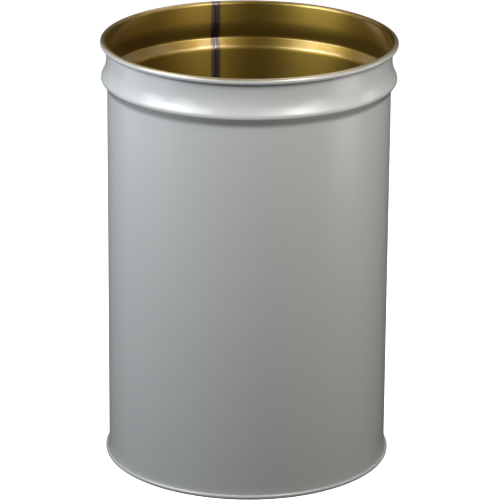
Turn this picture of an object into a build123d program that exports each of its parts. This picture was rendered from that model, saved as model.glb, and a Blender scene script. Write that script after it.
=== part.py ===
from build123d import *
import os
from math import sin, cos, radians, degrees

# Open-top, straight-sided steel waste can, about 57 litres.
# The can stands on its chime: +Z up along the can's axis, origin at the centre of
# the circle it stands on, and the welded side seam of the wall lies towards +Y.
# All sizes in millimetres.

# ---------------------------------------------------------------- driving dimensions
sheet = 0.9              # steel thickness of wall and bottom

wall_r = 182.0           # outer radius of the straight wall
neck_r = 183.2           # outer radius of the neck, between bead and mouth
rim_r = 190.8            # outer radius over the rolled mouth
height = 560.4           # floor to the top of the rolled mouth
curl_r = 4.25            # outer radius of the rolled mouth's tube
curl_open = 138.0        # where the curl's cut edge stops, degrees below outward

bead_r = 189.75          # outer radius over the pressed-out bead
bead_z = 510.1           # height of the bead's crest
crest_up_r = 8.4         # rounding of the bead just above its crest
crest_down_r = 4.2       # rounding of the bead just below its crest
bead_up = 29.0           # steepest slope above the crest, degrees
bead_down = 34.5         # slope of the flank below the crest, degrees
foot_r = 12.0            # rounding where the lower flank runs into the wall

fold_flat = 0.7          # width of the flat ring that the can stands on
fold_rise = 0.8          # straight height between the seam's lower and upper folds
hook_gap = 0.35          # pocket left beyond each hook's cut edge

floor_z = 12.0           # upper face of the bottom panel
shoulder_r = 4.0         # outer radius where the panel turns down
ring_radii = (150.0, 96.0)   # middles of the two stiffening rings
ring_turn = 35.0         # slope of a stiffening ring's flanks, degrees
ring_lip = 6.0           # radius at each side of a stiffening ring
ring_well = 7.4          # radius at the bottom of a stiffening ring

weld_w = 2.0             # width of the side-seam weld
weld_crown = 0.15        # how far the weld stands above each side of the sheet
weld_z = (14.0, 486.0)   # height range over which the crown is left standing

os.makedirs("parts", exist_ok=True)

# ---------------------------------------------------------------- derived dimensions
# The mouth: the neck's outer face is the inside of the rolled tube.
curl_in = curl_r - sheet
curl_c = (rim_r - curl_r, height - curl_r)

# The bead: above the crest one long arc runs out into the neck; below it a straight
# flank runs into the wall through a rounding.
crest_up_c = (bead_r - crest_up_r, bead_z)
crest_dn_c = (bead_r - crest_down_r, bead_z)
up_x = crest_up_c[0] + crest_up_r * cos(radians(bead_up))
up_z = bead_z + crest_up_r * sin(radians(bead_up))
up_r = (up_x - neck_r) / (1 - cos(radians(bead_up)))
up_c = (neck_r + up_r, up_z + up_r * sin(radians(bead_up)))
dn_x = crest_dn_c[0] + crest_down_r * cos(radians(bead_down))
dn_z = bead_z - crest_down_r * sin(radians(bead_down))
foot_x = wall_r + foot_r * (1 - cos(radians(bead_down)))
foot_z = dn_z - (dn_x - foot_x) * cos(radians(bead_down)) / sin(radians(bead_down))
foot_c = (wall_r + foot_r, foot_z - foot_r * sin(radians(bead_down)))

# The bottom seam is a seven-layer rolled (triple) seam.  Outside the wall lie, one
# sheet thickness each: bottom, wall, bottom, wall, bottom.
lay = [wall_r + k * sheet for k in range(-2, 6)]      # layer faces, inside to outside
seam_mid = wall_r + 1.5 * sheet                       # middle of the lower folds
cap_mid = wall_r + 2.5 * sheet                        # middle of the upper folds
fl = fold_flat / 2
low_r = [k * sheet + sheet / 2 - fl for k in range(4)]  # lower fold radii, inside out
cap_r = [k * sheet + sheet / 2 for k in range(3)]       # upper fold radii, inside out
fold_z = low_r[3]                                     # centre height of the lower folds
cap_z = fold_z + fold_rise                            # centre height of the upper folds


def sheet_section(path, thick):
    """Outline of a sheet: the given face, and the other face to its right."""
    other = []
    for step in path:
        if step[0] == "line":
            _, (x0, y0), (x1, y1) = step
            d = ((x1 - x0) ** 2 + (y1 - y0) ** 2) ** 0.5
            nx, ny = (y1 - y0) / d * thick, -(x1 - x0) / d * thick
            Line((x0, y0), (x1, y1))
            other.append(((x0 + nx, y0 + ny), (x1 + nx, y1 + ny)))
        else:
            _, c, r, a0, a1 = step
            CenterArc(c, r, a0, a1 - a0)
            ro = r + thick if a1 > a0 else r - thick
            CenterArc(c, ro, a0, a1 - a0)
            other.append(tuple((c[0] + ro * cos(radians(a)), c[1] + ro * sin(radians(a)))
                               for a in (a0, a1)))
            continue
        Line(*other[-1])
    first, last = path[0], path[-1]

    def start(step):
        if step[0] == "line":
            return step[1]
        return (step[1][0] + step[2] * cos(radians(step[3])),
                step[1][1] + step[2] * sin(radians(step[3])))

    def end(step):
        if step[0] == "line":
            return step[2]
        return (step[1][0] + step[2] * cos(radians(step[4])),
                step[1][1] + step[2] * sin(radians(step[4])))

    Line(start(first), other[0][0])
    Line(end(last), other[-1][1])


# The wall from the curl's cut edge, over the mouth, down the neck, round the bead,
# down the straight wall and into the bottom seam.  The face followed is the outer one.
wall_path = [
    ("arc", curl_c, curl_in, -curl_open, 180.0),
    ("line", (neck_r, curl_c[1]), (neck_r, up_c[1])),
    ("arc", up_c, up_r, 180.0, 180.0 + bead_up),
    ("arc", crest_up_c, crest_up_r, bead_up, 0.0),
    ("arc", crest_dn_c, crest_down_r, 0.0, -bead_down),
    ("line", (dn_x, dn_z), (foot_x, foot_z)),
    ("arc", foot_c, foot_r, 180.0 - bead_down, 180.0),
    ("line", (wall_r, foot_c[1]), (wall_r, fold_z)),
    ("arc", (seam_mid - fl, fold_z), low_r[1], 180.0, 270.0),
    ("line", (seam_mid - fl, fold_z - low_r[1]), (seam_mid + fl, fold_z - low_r[1])),
    ("arc", (seam_mid + fl, fold_z), low_r[1], 270.0, 360.0),
    ("line", (lay[5], fold_z), (lay[5], cap_z)),
    ("arc", (cap_mid, cap_z), cap_r[0], 0.0, 180.0),
    ("line", (lay[4], cap_z), (lay[4], fold_z + hook_gap)),
]

# The bottom from its centre: panel with two stiffening rings, shoulder, down the
# wall's inner face and round the seam.  The face followed is the upper one.
panel_path = []
x = 0.0
turn = radians(ring_turn)
for ring in sorted(ring_radii):
    half = (ring_lip + ring_well) * sin(turn)
    panel_path.append(("line", (x, floor_z), (ring - half, floor_z)))
    panel_path.append(("arc", (ring - half, floor_z - ring_lip), ring_lip, 90.0, 90.0 - ring_turn))
    well_c = (ring, floor_z - ring_lip + (ring_lip + ring_well) * cos(turn))
    panel_path.append(("arc", well_c, ring_well, 270.0 - ring_turn, 270.0 + ring_turn))
    panel_path.append(("arc", (ring + half, floor_z - ring_lip), ring_lip, 90.0 + ring_turn, 90.0))
    x = ring + half
inner_r = wall_r - sheet
panel_path += [
    ("line", (x, floor_z), (inner_r - shoulder_r, floor_z)),
    ("arc", (inner_r - shoulder_r, floor_z - shoulder_r), shoulder_r, 90.0, 0.0),
    ("line", (inner_r, floor_z - shoulder_r), (inner_r, fold_z)),
    ("arc", (seam_mid - fl, fold_z), low_r[2], 180.0, 270.0),
    ("line", (seam_mid - fl, fold_z - low_r[2]), (seam_mid + fl, fold_z - low_r[2])),
    ("arc", (seam_mid + fl, fold_z), low_r[2], 270.0, 360.0),
    ("line", (lay[6], fold_z), (lay[6], cap_z)),
    ("arc", (cap_mid, cap_z), cap_r[1], 0.0, 180.0),
    ("line", (lay[3], cap_z), (lay[3], fold_z)),
    ("arc", (seam_mid - fl, fold_z), low_r[0], 180.0, 270.0),
    ("line", (seam_mid - fl, fold_z - low_r[0]), (seam_mid + fl, fold_z - low_r[0])),
    ("arc", (seam_mid + fl, fold_z), low_r[0], 270.0, 360.0),
    ("line", (lay[4], fold_z), (lay[4], cap_z - hook_gap)),
]

# The weld's edges lie at equal angles each side of +Y.
weld_deg = degrees(weld_w / wall_r)


def section_plane(angle):
    """Upright plane through the axis: local X radial at this angle, local Y up."""
    a = radians(angle)
    return Plane(origin=(0, 0, 0), x_dir=(cos(a), sin(a), 0), z_dir=(sin(a), -cos(a), 0))


# ---------------------------------------------------------------- wall
with BuildPart() as body_shell:
    with BuildSketch(section_plane(90 + weld_deg / 2)):
        with BuildLine():
            sheet_section(wall_path, sheet)
        make_face()
    revolve(axis=Axis.Z, revolution_arc=360 - weld_deg)

# ---------------------------------------------------------------- side-seam weld
with BuildPart() as side_seam_weld:
    with BuildSketch(section_plane(90 - weld_deg / 2)):
        with BuildLine():
            sheet_section(wall_path, sheet)
        make_face()
        with Locations((wall_r - sheet / 2, sum(weld_z) / 2)):
            Rectangle(sheet + 2 * weld_crown, weld_z[1] - weld_z[0])
    revolve(axis=Axis.Z, revolution_arc=weld_deg)

# ---------------------------------------------------------------- bottom
with BuildPart() as bottom_head:
    with BuildSketch(section_plane(90)):
        with BuildLine():
            sheet_section(panel_path, sheet)
        make_face()
    revolve(axis=Axis.Z)

# ---------------------------------------------------------------- sealing compound
# One ring beyond the wall hook's cut edge, one beyond the bottom hook's cut edge.
with BuildPart() as seam_compound_lower:
    with BuildSketch(section_plane(90)):
        with BuildLine():
            Line((lay[3], fold_z + hook_gap), (lay[3], fold_z))
            CenterArc((seam_mid - fl, fold_z), low_r[0], 180, 90)
            Line((seam_mid - fl, fold_z - low_r[0]), (seam_mid + fl, fold_z - low_r[0]))
            CenterArc((seam_mid + fl, fold_z), low_r[0], 270, 90)
            Line((lay[4], fold_z), (lay[4], fold_z + hook_gap))
            Line((lay[4], fold_z + hook_gap), (lay[3], fold_z + hook_gap))
        make_face()
    revolve(axis=Axis.Z)

with BuildPart() as seam_compound_upper:
    with BuildSketch(section_plane(90)):
        with BuildLine():
            Polyline(
                (lay[4], cap_z - hook_gap),
                (lay[5], cap_z - hook_gap),
                (lay[5], cap_z),
                (cap_mid + 0.2, cap_z + 0.38),
                (cap_mid - 0.2, cap_z + 0.38),
                (lay[4], cap_z),
                close=True,
            )
        make_face()
    revolve(axis=Axis.Z)

# ---------------------------------------------------------------- export
body_shell.part.label = "body_shell"
side_seam_weld.part.label = "side_seam_weld"
bottom_head.part.label = "bottom_head"
seam_compound_lower.part.label = "seam_compound_lower"
seam_compound_upper.part.label = "seam_compound_upper"

export_step(body_shell.part, "parts/body_shell.step")
export_step(side_seam_weld.part, "parts/side_seam_weld.step")
export_step(bottom_head.part, "parts/bottom_head.step")
export_step(seam_compound_lower.part, "parts/seam_compound_lower.step")
export_step(seam_compound_upper.part, "parts/seam_compound_upper.step")

print("neck bore radius %.2f from z %.2f to %.2f" % (neck_r - sheet, up_c[1], curl_c[1]))
print("seam: height %.2f, outer radius %.2f" % (cap_z + cap_r[2], lay[7]))
print("flat ring radius %.2f" % seam_mid)
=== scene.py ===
"""Visual model of the open-top steel waste can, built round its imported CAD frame.

All lengths in metres, in the frame of the CAD model: +Z up along the can's axis,
the welded side seam towards +Y, the floor at z = 0.
"""
import math

import bpy
import bmesh
import numpy as np
from mathutils import Matrix, Vector


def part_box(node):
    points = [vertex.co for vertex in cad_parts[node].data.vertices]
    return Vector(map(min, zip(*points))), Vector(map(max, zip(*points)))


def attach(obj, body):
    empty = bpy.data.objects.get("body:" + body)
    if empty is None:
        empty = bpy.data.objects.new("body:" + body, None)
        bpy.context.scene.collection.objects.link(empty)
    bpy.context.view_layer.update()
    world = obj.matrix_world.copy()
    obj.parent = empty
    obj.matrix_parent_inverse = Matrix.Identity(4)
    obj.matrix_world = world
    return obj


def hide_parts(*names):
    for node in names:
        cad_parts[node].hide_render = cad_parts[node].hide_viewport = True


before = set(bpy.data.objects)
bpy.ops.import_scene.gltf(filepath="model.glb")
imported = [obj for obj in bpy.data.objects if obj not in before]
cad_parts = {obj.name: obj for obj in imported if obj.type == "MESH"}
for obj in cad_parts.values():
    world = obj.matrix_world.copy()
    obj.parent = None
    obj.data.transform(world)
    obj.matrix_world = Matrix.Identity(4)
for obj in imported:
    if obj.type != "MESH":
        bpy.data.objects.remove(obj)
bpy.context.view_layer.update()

MM = 0.001
rad = math.radians

# --------------------------------------------------------------- dimensions (millimetres)
shell_lo, shell_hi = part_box("body_shell")
height = shell_hi.z / MM - 0.01         # top of the rolled mouth, kept inside the CAD box
rim_r = (shell_hi.x - shell_lo.x) / 2 / MM - 0.01
sheet = 0.9
wall_r = 182.0
neck_r = 183.2
curl_r = (rim_r - neck_r + sheet) / 2   # tube radius that fits between the neck and the rim
curl_in = curl_r - sheet
curl_c = (rim_r - curl_r, height - curl_r)
curl_open = 138.0
bead_r, bead_z, crest_up_r, crest_down_r = 189.75, 510.1, 8.4, 4.2
bead_up, bead_down, foot_r = 29.0, 34.5, 12.0
fold_flat, fold_rise, hook_gap = 0.7, 0.8, 0.35
floor_z, shoulder_r = 12.0, 4.0
ring_radii, ring_turn, ring_lip, ring_well = (96.0, 150.0), 35.0, 6.0, 7.4
weld_w = 2.0

crest_up_c, crest_dn_c = (bead_r - crest_up_r, bead_z), (bead_r - crest_down_r, bead_z)
up_x, up_z = crest_up_c[0] + crest_up_r * math.cos(rad(bead_up)), bead_z + crest_up_r * math.sin(rad(bead_up))
up_r = (up_x - neck_r) / (1 - math.cos(rad(bead_up)))
up_c = (neck_r + up_r, up_z + up_r * math.sin(rad(bead_up)))
dn_x, dn_z = crest_dn_c[0] + crest_down_r * math.cos(rad(bead_down)), bead_z - crest_down_r * math.sin(rad(bead_down))
foot_x = wall_r + foot_r * (1 - math.cos(rad(bead_down)))
foot_z = dn_z - (dn_x - foot_x) / math.tan(rad(bead_down))
foot_c = (wall_r + foot_r, foot_z - foot_r * math.sin(rad(bead_down)))
lay = [wall_r + k * sheet for k in range(-2, 6)]
seam_mid, cap_mid, fl = wall_r + 1.5 * sheet, wall_r + 2.5 * sheet, fold_flat / 2
low_r = [k * sheet + sheet / 2 - fl for k in range(4)]
cap_r = [k * sheet + sheet / 2 for k in range(3)]
fold_z = low_r[3]
cap_z = fold_z + fold_rise

# Each step follows one face of the sheet; the other face lies to its right.
wall_path = [
    ("arc", curl_c, curl_in, -curl_open, 180.0),
    ("line", (neck_r, curl_c[1]), (neck_r, up_c[1])),
    ("arc", up_c, up_r, 180.0, 180.0 + bead_up),
    ("arc", crest_up_c, crest_up_r, bead_up, 0.0),
    ("arc", crest_dn_c, crest_down_r, 0.0, -bead_down),
    ("line", (dn_x, dn_z), (foot_x, foot_z)),
    ("arc", foot_c, foot_r, 180.0 - bead_down, 180.0),
    ("line", (wall_r, foot_c[1]), (wall_r, fold_z)),
    ("arc", (seam_mid - fl, fold_z), low_r[1], 180.0, 270.0),
    ("line", (seam_mid - fl, fold_z - low_r[1]), (seam_mid + fl, fold_z - low_r[1])),
    ("arc", (seam_mid + fl, fold_z), low_r[1], 270.0, 360.0),
    ("line", (lay[5], fold_z), (lay[5], cap_z)),
    ("arc", (cap_mid, cap_z), cap_r[0], 0.0, 180.0),
    ("line", (lay[4], cap_z), (lay[4], fold_z + hook_gap)),
]
panel_path, x = [], 0.0
for ring in ring_radii:
    half = (ring_lip + ring_well) * math.sin(rad(ring_turn))
    panel_path += [
        ("line", (x, floor_z), (ring - half, floor_z)),
        ("arc", (ring - half, floor_z - ring_lip), ring_lip, 90.0, 90.0 - ring_turn),
        ("arc", (ring, floor_z - ring_lip + (ring_lip + ring_well) * math.cos(rad(ring_turn))),
         ring_well, 270.0 - ring_turn, 270.0 + ring_turn),
        ("arc", (ring + half, floor_z - ring_lip), ring_lip, 90.0 + ring_turn, 90.0),
    ]
    x = ring + half
inner_r = wall_r - sheet
panel_path += [
    ("line", (x, floor_z), (inner_r - shoulder_r, floor_z)),
    ("arc", (inner_r - shoulder_r, floor_z - shoulder_r), shoulder_r, 90.0, 0.0),
    ("line", (inner_r, floor_z - shoulder_r), (inner_r, fold_z)),
    ("arc", (seam_mid - fl, fold_z), low_r[2], 180.0, 270.0),
    ("line", (seam_mid - fl, fold_z - low_r[2]), (seam_mid + fl, fold_z - low_r[2])),
    ("arc", (seam_mid + fl, fold_z), low_r[2], 270.0, 360.0),
    ("line", (lay[6], fold_z), (lay[6], cap_z)),
    ("arc", (cap_mid, cap_z), cap_r[1], 0.0, 180.0),
    ("line", (lay[3], cap_z), (lay[3], fold_z)),
    ("arc", (seam_mid - fl, fold_z), low_r[0], 180.0, 270.0),
    ("line", (seam_mid - fl, fold_z - low_r[0]), (seam_mid + fl, fold_z - low_r[0])),
    ("arc", (seam_mid + fl, fold_z), low_r[0], 270.0, 360.0),
    ("line", (lay[4], fold_z), (lay[4], cap_z - hook_gap)),
]


# --------------------------------------------------------------- mesh tools
def trace(path, thick, arc_step=5.0, line_step=12.0):
    """Both faces of a sheet section as matching lists of (r, z), with each point's step."""
    face, back, tag = [], [], []

    def put(a, b, k):
        if not face or math.dist(face[-1], a) > 1e-6:
            face.append(a)
            back.append(b)
            tag.append(k)

    for k, step in enumerate(path):
        if step[0] == "line":
            _, (x0, y0), (x1, y1) = step
            d = math.hypot(x1 - x0, y1 - y0)
            nx, ny = (y1 - y0) / d * thick, -(x1 - x0) / d * thick
            n = max(1, math.ceil(d / line_step))
            for i in range(n + 1):
                px, py = x0 + (x1 - x0) * i / n, y0 + (y1 - y0) * i / n
                put((px, py), (px + nx, py + ny), k)
        else:
            _, (cx, cy), r, a0, a1 = step
            ro = r + thick if a1 > a0 else r - thick
            n = max(2, math.ceil(abs(a1 - a0) / arc_step))
            for i in range(n + 1):
                a = rad(a0 + (a1 - a0) * i / n)
                put((cx + r * math.cos(a), cy + r * math.sin(a)),
                    (cx + ro * math.cos(a), cy + ro * math.sin(a)), k)
    return face, back, tag


def revolve(name, loop, values, angles, closed, bump=None):
    """Revolves a closed (r, z) loop in mm through the angles (radians from +X).

    values gives each loop point's share of paint; bump(r, z, angle, i) may move a point.
    The first and last sections are capped when the revolution isn't closed.
    """
    m, n = len(loop), len(angles)
    co = np.zeros((n, m, 3))
    for j, a in enumerate(angles):
        ca, sa = math.cos(a), math.sin(a)
        for i, (r, z) in enumerate(loop):
            if bump:
                r, z = bump(r, z, a, i)
            co[j, i] = (r * ca * MM, r * sa * MM, z * MM)
    mesh = bpy.data.meshes.new(name)
    quads = []
    spans = n if closed else n - 1
    for j in range(spans):
        j2 = (j + 1) % n
        for i in range(m):
            i2 = (i + 1) % m
            quads.append((j * m + i, j2 * m + i, j2 * m + i2, j * m + i2))
    mesh.from_pydata(co.reshape(-1, 3).tolist(), [], quads)
    paint = mesh.attributes.new("paint", "FLOAT", "POINT")
    paint.data.foreach_set("value", np.tile(np.array(values, np.float32), n))
    ob = bpy.data.objects.new(name, mesh)
    bpy.context.scene.collection.objects.link(ob)
    bm = bmesh.new()
    bm.from_mesh(mesh)
    bmesh.ops.remove_doubles(bm, verts=[v for v in bm.verts if math.hypot(v.co.x, v.co.y) < 1e-6], dist=1e-6)
    bmesh.ops.dissolve_degenerate(bm, dist=1e-8, edges=bm.edges)
    if not closed:
        ends = [e for e in bm.edges if e.is_boundary]
        bmesh.ops.edgeloop_fill(bm, edges=ends)
    bmesh.ops.recalc_face_normals(bm, faces=bm.faces)
    if bm.calc_volume() < 0:
        bmesh.ops.reverse_faces(bm, faces=bm.faces)
    for f in bm.faces:
        f.smooth = len(f.verts) <= 4
    for e in bm.edges:
        if len(e.link_faces) == 2 and e.calc_face_angle(0.0) > rad(40):
            e.smooth = False
    bm.to_mesh(mesh)
    bm.free()
    return ob


def section(path, thick, arc_step):
    face, back, tag = trace(path, thick, arc_step)
    return face + back[::-1], tag, len(face)


# Angles round the can, close together near the weld at +Y.
half_weld = weld_w / 2 / wall_r


def ring_angles(coarse):
    near = [half_weld * k for k in (1, 1.8, 3, 5, 8, 12)]
    left = [math.pi / 2 + a for a in near]
    right = [math.pi / 2 + 2 * math.pi - a for a in near][::-1]
    n = math.ceil((right[0] - left[-1]) / rad(coarse))
    mid = [left[-1] + (right[0] - left[-1]) * i / n for i in range(1, n)]
    return left + mid + right


# --------------------------------------------------------------- the wall
loop, tag, nf = section(wall_path, sheet, 4.0)
tags = tag + tag[::-1]
# The enamel is sprayed from outside after the mouth is rolled, so it thins out over the
# rolled tube: full cover up to the first angle, a dusting between, none past the last.
SPRAY = ((15.0, 1.0), (55.0, 0.30), (100.0, 0.20), (126.0, 0.0))


def spray_share(r, z):
    a = math.degrees(math.atan2(z - curl_c[1], r - curl_c[0]))
    return float(np.interp(a, [k for k, _ in SPRAY], [v for _, v in SPRAY]))


def wall_paint(i, r, z):
    if i < nf:
        return 1.0                              # the outer face is enamelled
    if tags[i] == 0:                            # the curl's outside
        return spray_share(r, z)
    return 0.0                                  # the inner face is lacquered


values = [wall_paint(i, r, z) for i, (r, z) in enumerate(loop)]
shell = revolve("body_shell_wall", loop, values, ring_angles(1.0), closed=False)


# --------------------------------------------------------------- the side-seam weld
def weld_crown():
    """A rolled-down resistance weld: a low crown with a fine ripple of overlapping nuggets."""
    rng = np.random.default_rng(7)
    drift = rng.normal(0, 1, 40)

    def lift(s, across, inner):
        crown = max(0.0, 1 - (across / 0.92) ** 2) ** 0.6
        ripple = 0.035 * math.sin(2 * math.pi * s / 1.35 + 0.8 * across ** 2)
        k = s / 22.0
        slow = 0.03 * (drift[int(k) % 40] * (1 - k % 1) + drift[(int(k) + 1) % 40] * (k % 1))
        return crown * ((0.17 if inner else 0.13) + ripple + slow)

    return lift


lift = weld_crown()
face, back, wtag = trace(wall_path, sheet, 4.0, line_step=0.36)
length_at, s = [0.0], 0.0
for a, b in zip(face, face[1:]):
    s += math.dist(a, b)
    length_at.append(s)
seam_top = cap_z + cap_r[2]
across_n = 10
verts, vals = [], []
for side, pts in ((0, face), (1, back)):
    for k, (r, z) in enumerate(pts):
        a = pts[max(k - 1, 0)]
        b = pts[min(k + 1, len(pts) - 1)]
        d = math.dist(a, b)
        nr, nz = (b[1] - a[1]) / d, -(b[0] - a[0]) / d      # to the right of the path
        if side == 0:
            nr, nz = -nr, -nz
        # the crown dies out in the bottom seam and inside the rolled mouth
        fade = 1.0
        if wtag[k] == 7:
            fade = min(1.0, max(0.0, (z - seam_top - 6.5) / 3.0))
        if wtag[k] == 0:
            turn_a = math.degrees(math.atan2(z - curl_c[1], r - curl_c[0]))
            fade = max(0.0, (turn_a - 110) / 70) if side == 1 else 0.0
        if wtag[k] > 7:
            fade = 0.0
        for j in range(across_n + 1):
            u = -1 + 2 * j / across_n
            h = lift(length_at[k], u, side == 1) * fade if abs(u) < 1 else 0.0
            ang = math.pi / 2 + half_weld * u
            rr, zz = r + nr * h, z + nz * h
            verts.append((rr * math.cos(ang) * MM, rr * math.sin(ang) * MM, zz * MM))
            if side == 0:
                vals.append(1.0)
            else:
                vals.append(0.0 if wtag[k] else spray_share(r, z))
rows, cols = len(face), across_n + 1
base = rows * cols
quads = []
for k in range(rows - 1):
    for j in range(cols - 1):
        a = k * cols + j
        quads.append((a, a + 1, a + cols + 1, a + cols))
        quads.append((base + a, base + a + cols, base + a + cols + 1, base + a + 1))
    for j in (0, cols - 1):
        a, b = k * cols + j, (k + 1) * cols + j
        quads.append((a, b, base + b, base + a) if j == 0 else (a, base + a, base + b, b))
for k in (0, rows - 1):
    for j in range(cols - 1):
        a = k * cols + j
        quads.append((a, base + a, base + a + 1, a + 1) if k == 0 else (a, a + 1, base + a + 1, base + a))
mesh = bpy.data.meshes.new("side_seam_weld_bead")
mesh.from_pydata(verts, [], quads)
mesh.attributes.new("paint", "FLOAT", "POINT").data.foreach_set("value", np.array(vals, np.float32))
weld = bpy.data.objects.new("side_seam_weld_bead", mesh)
bpy.context.scene.collection.objects.link(weld)
bm = bmesh.new()
bm.from_mesh(mesh)
bmesh.ops.recalc_face_normals(bm, faces=bm.faces)
if bm.calc_volume() < 0:
    bmesh.ops.reverse_faces(bm, faces=bm.faces)
for f in bm.faces:
    f.smooth = True
for e in bm.edges:
    if len(e.link_faces) == 2 and e.calc_face_angle(0.0) > rad(50):
        e.smooth = False
bm.to_mesh(mesh)
bm.free()

# --------------------------------------------------------------- the bottom
face, back, btag = trace(panel_path, sheet, 5.0)
n_panel = len(face)
loop_b = face + back[::-1]
steps = btag + btag[::-1]
first_seam = next(k for k, st in enumerate(panel_path) if st[0] == "arc" and st[1] == (seam_mid - fl, fold_z))
vals_b = [0.0 if i < n_panel and steps[i] < first_seam else 1.0 for i in range(len(loop_b))]
head = revolve("bottom_head_pressing", loop_b, vals_b,
               [2 * math.pi * k / 360 for k in range(360)], closed=True)


# --------------------------------------------------------------- materials
class Net:
    """A short way to write a node tree."""

    def __init__(self, tree):
        self.tree, self.nodes, self.links = tree, tree.nodes, tree.links
        self.nodes.clear()

    def add(self, kind, inputs=None, **props):
        node = self.nodes.new(kind)
        for k, v in props.items():
            setattr(node, k, v)
        for k, v in (inputs or {}).items():
            self.put(node.inputs[k], v)
        return node

    def put(self, socket, v):
        if isinstance(v, bpy.types.NodeSocket):
            self.links.new(v, socket)
        elif isinstance(v, bpy.types.Node):
            self.links.new(v.outputs[0], socket)
        else:
            socket.default_value = v

    def math(self, op, a, b=None, c=None, clamp=False):
        node = self.nodes.new("ShaderNodeMath")
        node.operation, node.use_clamp = op, clamp
        for k, v in enumerate((a, b, c)):
            if v is not None:
                self.put(node.inputs[k], v)
        return node.outputs[0]

    def mix(self, t, a, b, blend="MIX"):
        node = self.nodes.new("ShaderNodeMix")
        node.data_type, node.blend_type = "RGBA", blend
        self.put(node.inputs["Factor"], t)
        self.put(node.inputs["A"], a)
        self.put(node.inputs["B"], b)
        return node.outputs["Result"]

    def mixf(self, t, a, b):
        node = self.nodes.new("ShaderNodeMix")
        node.data_type = "FLOAT"
        self.put(node.inputs["Factor"], t)
        self.put(node.inputs["A"], a)
        self.put(node.inputs["B"], b)
        return node.outputs["Result"]

    def ramp(self, t, lo, hi, a=0.0, b=1.0):
        node = self.nodes.new("ShaderNodeMapRange")
        node.interpolation_type, node.clamp = "SMOOTHSTEP", True
        self.put(node.inputs["Value"], t)
        for k, v in (("From Min", lo), ("From Max", hi), ("To Min", a), ("To Max", b)):
            self.put(node.inputs[k], v)
        return node.outputs["Result"]

    def noise(self, vec, scale, detail=2.0, rough=0.5, lo=None, hi=None):
        node = self.add("ShaderNodeTexNoise", {"Vector": vec, "Scale": scale, "Detail": detail, "Roughness": rough})
        out = node.outputs["Fac"]
        return out if lo is None else self.ramp(out, lo, hi)


ENAMEL = (0.300, 0.305, 0.300, 1.0)
GOLD = (0.262, 0.175, 0.034, 1.0)
GOLD_DEEP = (0.219, 0.141, 0.024, 1.0)
OXIDE = (0.075, 0.060, 0.055, 1.0)
BARE = (0.22, 0.20, 0.19, 1.0)


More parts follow.
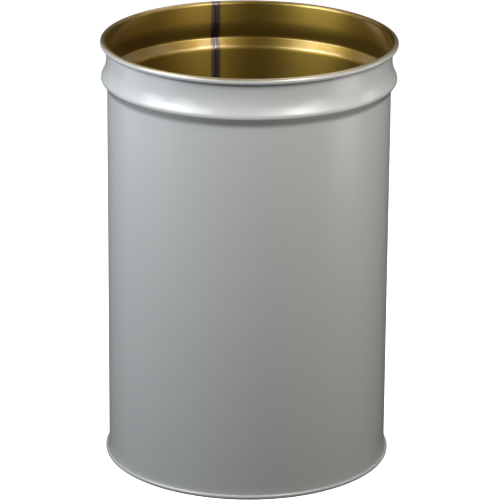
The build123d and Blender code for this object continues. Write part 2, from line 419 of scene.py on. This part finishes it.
def can_material(name, with_seam=True, grained=False):
    """Grey enamel where the paint attribute is 1, gold lacquer over steel where it is 0,
    and along the side seam the bare margin that the lacquer leaves for the weld.
    A grained one shows the rolling grain of the sheet, which runs round the can and so
    draws highlights out upwards."""
    mat = bpy.data.materials.new(name)
    mat.use_nodes = True
    n = Net(mat.node_tree)
    pos = n.add("ShaderNodeTexCoord").outputs["Object"]
    xyz = n.add("ShaderNodeSeparateXYZ", {"Vector": pos})
    px, py, pz = xyz.outputs
    # position on the unrolled sheet: round the can from -Y, and up it
    around = n.math("MULTIPLY", n.math("ARCTAN2", px, n.math("MULTIPLY", py, -1.0)), 0.182)
    radius = n.math("SQRT", n.math("ADD", n.math("MULTIPLY", px, px), n.math("MULTIPLY", py, py)))
    sheet_pos = n.add("ShaderNodeCombineXYZ", {"X": around, "Y": pz, "Z": radius})

    # ---- enamel
    fine = n.noise(pos, 420.0, 2.0, 0.55)                     # orange peel, about 2 mm
    coarse = n.noise(pos, 90.0, 2.0, 0.5)
    cloud = n.noise(pos, 7.0, 3.0, 0.55, 0.35, 0.68)          # slow drift of tone
    speck = n.noise(pos, 1500.0, 1.0, 0.5, 0.60, 0.74)        # pigment grain
    enamel = n.mix(n.math("MULTIPLY", cloud, 0.05), ENAMEL, (0.345, 0.350, 0.350, 1.0))
    enamel = n.mix(n.math("MULTIPLY", speck, 0.045), enamel, (0.20, 0.205, 0.205, 1.0))
    enamel_rough = n.math("ADD", 0.20, n.math("MULTIPLY", n.noise(pos, 22.0, 3.0, 0.6), 0.09))
    # handling marks: fine scratches, mostly round the can
    stretch = n.add("ShaderNodeMapping", {"Vector": sheet_pos.outputs[0], "Scale": (14.0, 900.0, 0.0)})
    scratch = n.noise(stretch.outputs[0], 1.0, 3.0, 0.6, 0.665, 0.72)
    patch = n.noise(pos, 11.0, 2.0, 0.5, 0.50, 0.66)
    scratch = n.math("MULTIPLY", scratch, patch)
    enamel_rough = n.math("ADD", enamel_rough, n.math("MULTIPLY", scratch, 0.05))
    enamel = n.mix(n.math("MULTIPLY", scratch, 0.035), enamel, (0.42, 0.425, 0.42, 1.0))
    # the standing edge picks up scuffs and dirt
    foot = n.ramp(pz, 0.0035, 0.0002)
    scuff = n.math("MULTIPLY", foot, n.noise(pos, 160.0, 4.0, 0.65, 0.46, 0.60))
    enamel = n.mix(n.math("MULTIPLY", scuff, 0.55), enamel, (0.11, 0.11, 0.105, 1.0))
    enamel_rough = n.math("ADD", enamel_rough, n.math("MULTIPLY", scuff, 0.22))

    # ---- lacquer on rolled steel
    grain_map = n.add("ShaderNodeMapping", {"Vector": sheet_pos.outputs[0], "Scale": (9.0, 1500.0, 0.0)})
    grain = n.noise(grain_map.outputs[0], 1.0, 3.0, 0.6)
    lac_cloud = n.noise(pos, 9.0, 4.0, 0.6, 0.30, 0.72)
    lac_fine = n.noise(pos, 260.0, 2.0, 0.5)
    gold = n.mix(lac_cloud, GOLD, GOLD_DEEP)
    gold = n.mix(n.math("MULTIPLY", n.ramp(grain, 0.35, 0.65), 0.22), gold, (0.165, 0.105, 0.022, 1.0))
    gold_rough = n.math("ADD", 0.34 if grained else 0.30, n.math("MULTIPLY", grain, 0.10))
    gold_rough = n.math("ADD", gold_rough, n.math("MULTIPLY", lac_cloud, 0.04))

    # ---- bare margins each side of the weld, inside
    if with_seam:
        wander = n.noise(pos, 55.0, 3.0, 0.6)
        off = n.math("ADD", n.math("ABSOLUTE", px), n.math("MULTIPLY", n.math("SUBTRACT", wander, 0.5), 0.0011))
        back_half = n.math("GREATER_THAN", py, 0.0)
        margin = n.math("MULTIPLY", n.ramp(off, 0.0070, 0.0056), back_half)
        heat = n.ramp(n.math("ABSOLUTE", px), 0.0056, 0.0016)
        blued = n.mix(heat, (0.130, 0.095, 0.070, 1.0), OXIDE)
        blued = n.mix(n.math("MULTIPLY", n.noise(sheet_pos.outputs[0], 240.0, 3.0, 0.6, 0.4, 0.7), 0.5), blued,
                      (0.050, 0.045, 0.055, 1.0))
        bead = n.ramp(n.math("ABSOLUTE", px), 0.00085, 0.00045)
        ripple = n.noise(n.add("ShaderNodeMapping", {"Vector": sheet_pos.outputs[0], "Scale": (300.0, 740.0, 0.0)}).outputs[0],
                         1.0, 2.0, 0.5, 0.35, 0.7)
        nugget = n.mix(ripple, BARE, (0.13, 0.12, 0.125, 1.0))
        blued = n.mix(bead, blued, nugget)
        inner = n.mix(margin, gold, blued)
        inner_rough = n.mixf(margin, gold_rough, n.mixf(bead, 0.34, 0.27))
    else:
        inner, inner_rough, margin = gold, gold_rough, None

    # ---- enamel over lacquer, with an uneven spray edge
    share = n.add("ShaderNodeAttribute", attribute_name="paint").outputs["Fac"]
    partial = n.math("MULTIPLY", share, n.math("SUBTRACT", 1.0, share))
    mist = n.math("SUBTRACT", n.noise(pos, 700.0, 3.0, 0.65), 0.5)
    painted = n.math("MULTIPLY_ADD", n.math("MULTIPLY", mist, partial), 6.0, share, clamp=True)

    colour = n.mix(painted, inner, enamel)
    rough = n.mixf(painted, inner_rough, enamel_rough)
    metal = n.math("SUBTRACT", 1.0, painted)
    coat = n.math("MULTIPLY", metal, 0.8 if margin is None else n.mixf(margin, 0.8, 0.0))

    # ---- relief
    h = n.math("ADD", n.math("MULTIPLY", fine, 0.000012), n.math("MULTIPLY", coarse, 0.00004))
    h_in = n.math("ADD", n.math("MULTIPLY", grain, 0.0000035), n.math("MULTIPLY", lac_fine, 0.000006))
    height_mix = n.mixf(painted, h_in, h)
    bump = n.add("ShaderNodeBump", {"Height": height_mix, "Distance": 1.0, "Strength": 0.55})
    bsdf = n.add("ShaderNodeBsdfPrincipled", {
        "Base Color": colour, "Roughness": rough, "Metallic": metal, "Coat Weight": coat,
        "Normal": bump.outputs[0]})
    bsdf.inputs["Coat Roughness"].default_value = 0.15
    if grained:
        bsdf.inputs["Anisotropic"].default_value = 0.62
        bsdf.inputs["Anisotropic Rotation"].default_value = 0.25
    bsdf.inputs["IOR"].default_value = 1.5
    out = n.add("ShaderNodeOutputMaterial")
    n.links.new(bsdf.outputs[0], out.inputs[0])
    return mat


wall_mat = can_material("enamel_and_lacquer")
lining_mat = can_material("lacquered_steel", grained=True)
weld_mat = can_material("seam_weld_steel")
bottom_mat = can_material("bottom_enamel_and_lacquer", with_seam=False)


def compound_material():
    mat = bpy.data.materials.new("sealing_compound")
    mat.use_nodes = True
    n = Net(mat.node_tree)
    pos = n.add("ShaderNodeTexCoord").outputs["Object"]
    lump = n.noise(pos, 320.0, 3.0, 0.6)
    colour = n.mix(n.ramp(lump, 0.35, 0.7), (0.020, 0.020, 0.018, 1.0), (0.045, 0.043, 0.040, 1.0))
    rough = n.math("ADD", 0.62, n.math("MULTIPLY", lump, 0.2))
    bump = n.add("ShaderNodeBump", {"Height": n.math("MULTIPLY", lump, 0.0001), "Distance": 1.0, "Strength": 0.6})
    bsdf = n.add("ShaderNodeBsdfPrincipled", {"Base Color": colour, "Roughness": rough, "Normal": bump.outputs[0]})
    out = n.add("ShaderNodeOutputMaterial")
    n.links.new(bsdf.outputs[0], out.inputs[0])
    return mat


compound = compound_material()
for ob, mat, node, slot in ((shell, wall_mat, "body_shell", "wall"), (weld, weld_mat, "side_seam_weld", "weld"),
                            (head, bottom_mat, "bottom_head", "bottom")):
    ob.data.materials.append(mat)
    if ob is shell:                              # the faces with no paint on them take the lining
        ob.data.materials.append(lining_mat)
        share_at = [d.value for d in shell.data.attributes["paint"].data]
        for poly in shell.data.polygons:
            if len(poly.vertices) == 4 and max(share_at[v] for v in poly.vertices) < 1e-6:
                poly.material_index = 1
    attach(ob, "root")
    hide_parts(node)
for node in ("seam_compound_lower", "seam_compound_upper"):
    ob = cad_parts[node]
    ob.data.materials.clear()
    ob.data.materials.append(compound)

# --------------------------------------------------------------- floor, world, lights, camera
floor_mesh = bpy.data.meshes.new("floor")
floor_mesh.from_pydata([(-9, -9, 0), (9, -9, 0), (9, 9, 0), (-9, 9, 0)], [], [(0, 1, 2, 3)])
floor = bpy.data.objects.new("floor", floor_mesh)
bpy.context.scene.collection.objects.link(floor)
floor_mat = bpy.data.materials.new("pale_floor")
floor_mat.use_nodes = True
n = Net(floor_mat.node_tree)
soft = n.add("ShaderNodeBsdfDiffuse", {"Color": (0.8, 0.8, 0.8, 1.0)})
lit = n.add("ShaderNodeEmission", {"Color": (1.0, 1.0, 1.0, 1.0), "Strength": 0.90})
both = n.add("ShaderNodeAddShader", {0: soft.outputs[0], 1: lit.outputs[0]})
n.links.new(both.outputs[0], n.add("ShaderNodeOutputMaterial").inputs[0])
floor.data.materials.append(floor_mat)
floor.visible_diffuse = False
floor.visible_glossy = False

world = bpy.data.worlds.new("studio")
bpy.context.scene.world = world
world.use_nodes = True
n = Net(world.node_tree)
AMBIENT = (0.0000, 0.0000, 0.0000, 1.0)
seen = n.add("ShaderNodeLightPath").outputs["Is Camera Ray"]
n.links.new(n.add("ShaderNodeBackground", {"Color": n.mix(seen, AMBIENT, (1.0, 1.0, 1.0, 1.0)), "Strength": 1.0}).outputs[0],
            n.add("ShaderNodeOutputWorld").inputs[0])

VIEW_AZ = rad(-14.25)
turn = Matrix.Rotation(VIEW_AZ, 4, "Z")

# name, position, point it faces, width, height, colour, power; as seen from the camera, -Y towards it
LIGHTS = [
    ("e12_m100", (-1.300, 0.229, 0.781), (0, 0, 0.4), 0.42, 0.42, (0.994, 0.996, 1.000), 0.72),
    ("e12_m75", (-1.276, -0.342, 0.781), (0, 0, 0.4), 0.42, 0.42, (0.939, 0.966, 1.000), 4.30),
    ("e12_m50", (-1.012, -0.849, 0.781), (0, 0, 0.4), 0.42, 0.42, (0.957, 0.978, 1.000), 2.93),
    ("e12_50", (1.012, -0.849, 0.781), (0, 0, 0.4), 0.42, 0.42, (1.000, 0.981, 0.955), 2.45),
    ("e12_75", (1.276, -0.342, 0.781), (0, 0, 0.4), 0.42, 0.42, (1.000, 0.995, 0.990), 0.80),
    ("e12_100", (1.300, 0.229, 0.781), (0, 0, 0.4), 0.42, 0.42, (1.000, 0.996, 0.993), 1.56),
    ("e28_m100", (-1.174, 0.207, 1.134), (0, 0, 0.4), 0.42, 0.42, (0.999, 1.000, 1.000), 0.11),
    ("e28_m80", (-1.174, -0.207, 1.134), (0, 0, 0.4), 0.42, 0.42, (0.954, 0.975, 1.000), 4.42),
    ("e28_m60", (-1.032, -0.596, 1.134), (0, 0, 0.4), 0.42, 0.42, (0.874, 0.934, 1.000), 11.43),
    ("e28_m40", (-0.766, -0.913, 1.134), (0, 0, 0.4), 0.42, 0.42, (0.958, 0.981, 1.000), 4.37),
    ("e28_m20", (-0.408, -1.120, 1.134), (0, 0, 0.4), 0.42, 0.42, (0.998, 1.000, 1.000), 0.57),
    ("e28_0", (0.000, -1.192, 1.134), (0, 0, 0.4), 0.42, 0.42, (1.000, 1.000, 0.999), 0.22),
    ("e28_20", (0.408, -1.120, 1.134), (0, 0, 0.4), 0.42, 0.42, (1.000, 0.992, 0.977), 1.99),
    ("e28_40", (0.766, -0.913, 1.134), (0, 0, 0.4), 0.42, 0.42, (1.000, 0.958, 0.895), 7.98),
    ("e28_60", (1.032, -0.596, 1.134), (0, 0, 0.4), 0.42, 0.42, (1.000, 0.988, 0.973), 2.25),
    ("e28_80", (1.174, -0.207, 1.134), (0, 0, 0.4), 0.42, 0.42, (1.000, 0.997, 0.994), 0.82),
    ("e28_100", (1.174, 0.207, 1.134), (0, 0, 0.4), 0.42, 0.42, (1.000, 1.000, 1.000), 0.14),
    ("e44_m80", (-0.956, -0.169, 1.438), (0, 0, 0.4), 0.42, 0.42, (0.992, 0.995, 1.000), 1.08),
    ("e44_m60", (-0.841, -0.486, 1.438), (0, 0, 0.4), 0.42, 0.42, (0.980, 0.990, 1.000), 2.28),
    ("e44_20", (0.332, -0.913, 1.438), (0, 0, 0.4), 0.42, 0.42, (1.000, 0.999, 0.996), 0.55),
    ("e44_40", (0.624, -0.744, 1.438), (0, 0, 0.4), 0.42, 0.42, (1.000, 0.977, 0.942), 6.37),
    ("e44_60", (0.841, -0.486, 1.438), (0, 0, 0.4), 0.42, 0.42, (1.000, 0.998, 0.997), 0.41),
    ("e44_80", (0.956, -0.169, 1.438), (0, 0, 0.4), 0.42, 0.42, (1.000, 1.000, 0.999), 0.19),
    ("e44_100", (0.956, 0.169, 1.438), (0, 0, 0.4), 0.42, 0.42, (1.000, 0.999, 0.999), 0.56),
    ("e60_m100", (-0.665, 0.117, 1.669), (0, 0, 0.4), 0.42, 0.42, (0.995, 0.997, 1.000), 2.70),
    ("r30_m130", (-0.929, 0.779, 1.200), (0, 0, 0.4), 0.70, 0.60, (0.999, 0.999, 1.000), 1.32),
    ("r30_160", (0.415, 1.139, 1.200), (0, 0, 0.4), 0.70, 0.60, (1.000, 1.000, 1.000), 0.29),
    ("r30_130", (0.929, 0.779, 1.200), (0, 0, 0.4), 0.70, 0.60, (1.000, 1.000, 1.000), 0.80),
    ("r60_m150", (-0.350, 0.606, 1.712), (0, 0, 0.4), 0.60, 0.60, (1.000, 1.000, 1.000), 1.82),
    ("r60_150", (0.350, 0.606, 1.712), (0, 0, 0.4), 0.60, 0.60, (1.000, 1.000, 1.000), 5.43),
    ("l_m100", (-1.477, 0.260, 0.250), (0, 0, 0.25), 0.70, 0.45, (0.988, 0.992, 1.000), 1.08),
    ("l_m70", (-1.410, -0.513, 0.250), (0, 0, 0.25), 0.70, 0.45, (0.979, 0.988, 1.000), 1.18),
    ("l_80", (1.477, -0.260, 0.250), (0, 0, 0.25), 0.70, 0.45, (1.000, 0.986, 0.966), 2.47),
]
for name, where, aim, w, hgt, tint, power in LIGHTS:
    data = bpy.data.lights.new(name, "AREA")
    data.shape, data.size, data.size_y = "RECTANGLE", w, hgt
    data.color, data.energy = tint, power
    ob = bpy.data.objects.new(name, data)
    bpy.context.scene.collection.objects.link(ob)
    aim_dir = Vector(aim) - Vector(where)
    ob.matrix_world = turn @ (Matrix.Translation(where) @ aim_dir.to_track_quat("-Z", "Y").to_matrix().to_4x4())
    ob.visible_camera = False

cam_data = bpy.data.cameras.new("camera")
cam_data.lens, cam_data.sensor_width, cam_data.sensor_fit = 246.74, 36.0, "HORIZONTAL"
cam_data.clip_start, cam_data.clip_end = 0.1, 60.0
cam_data.dof.use_dof = False
cam = bpy.data.objects.new("camera", cam_data)
bpy.context.scene.collection.objects.link(cam)
pitch, roll = rad(19.0395), rad(0.4367)
fwd = Vector((0, math.cos(pitch), -math.sin(pitch)))
right, up = Vector((1, 0, 0)), Vector((0, math.sin(pitch), math.cos(pitch)))
r2 = right * math.cos(roll) + up * math.sin(roll)
u2 = -right * math.sin(roll) + up * math.cos(roll)
pose = Matrix((r2, u2, -fwd)).transposed().to_4x4()
cam.matrix_world = turn @ (Matrix.Translation((0.00275, -4.2222, 1.7313)) @ pose)
bpy.context.scene.camera = cam

bpy.context.scene.view_settings.view_transform = "Standard"
bpy.context.scene.view_settings.look = "None"
bpy.context.scene.view_settings.exposure = 0.0
bpy.context.scene.view_settings.gamma = 1.0
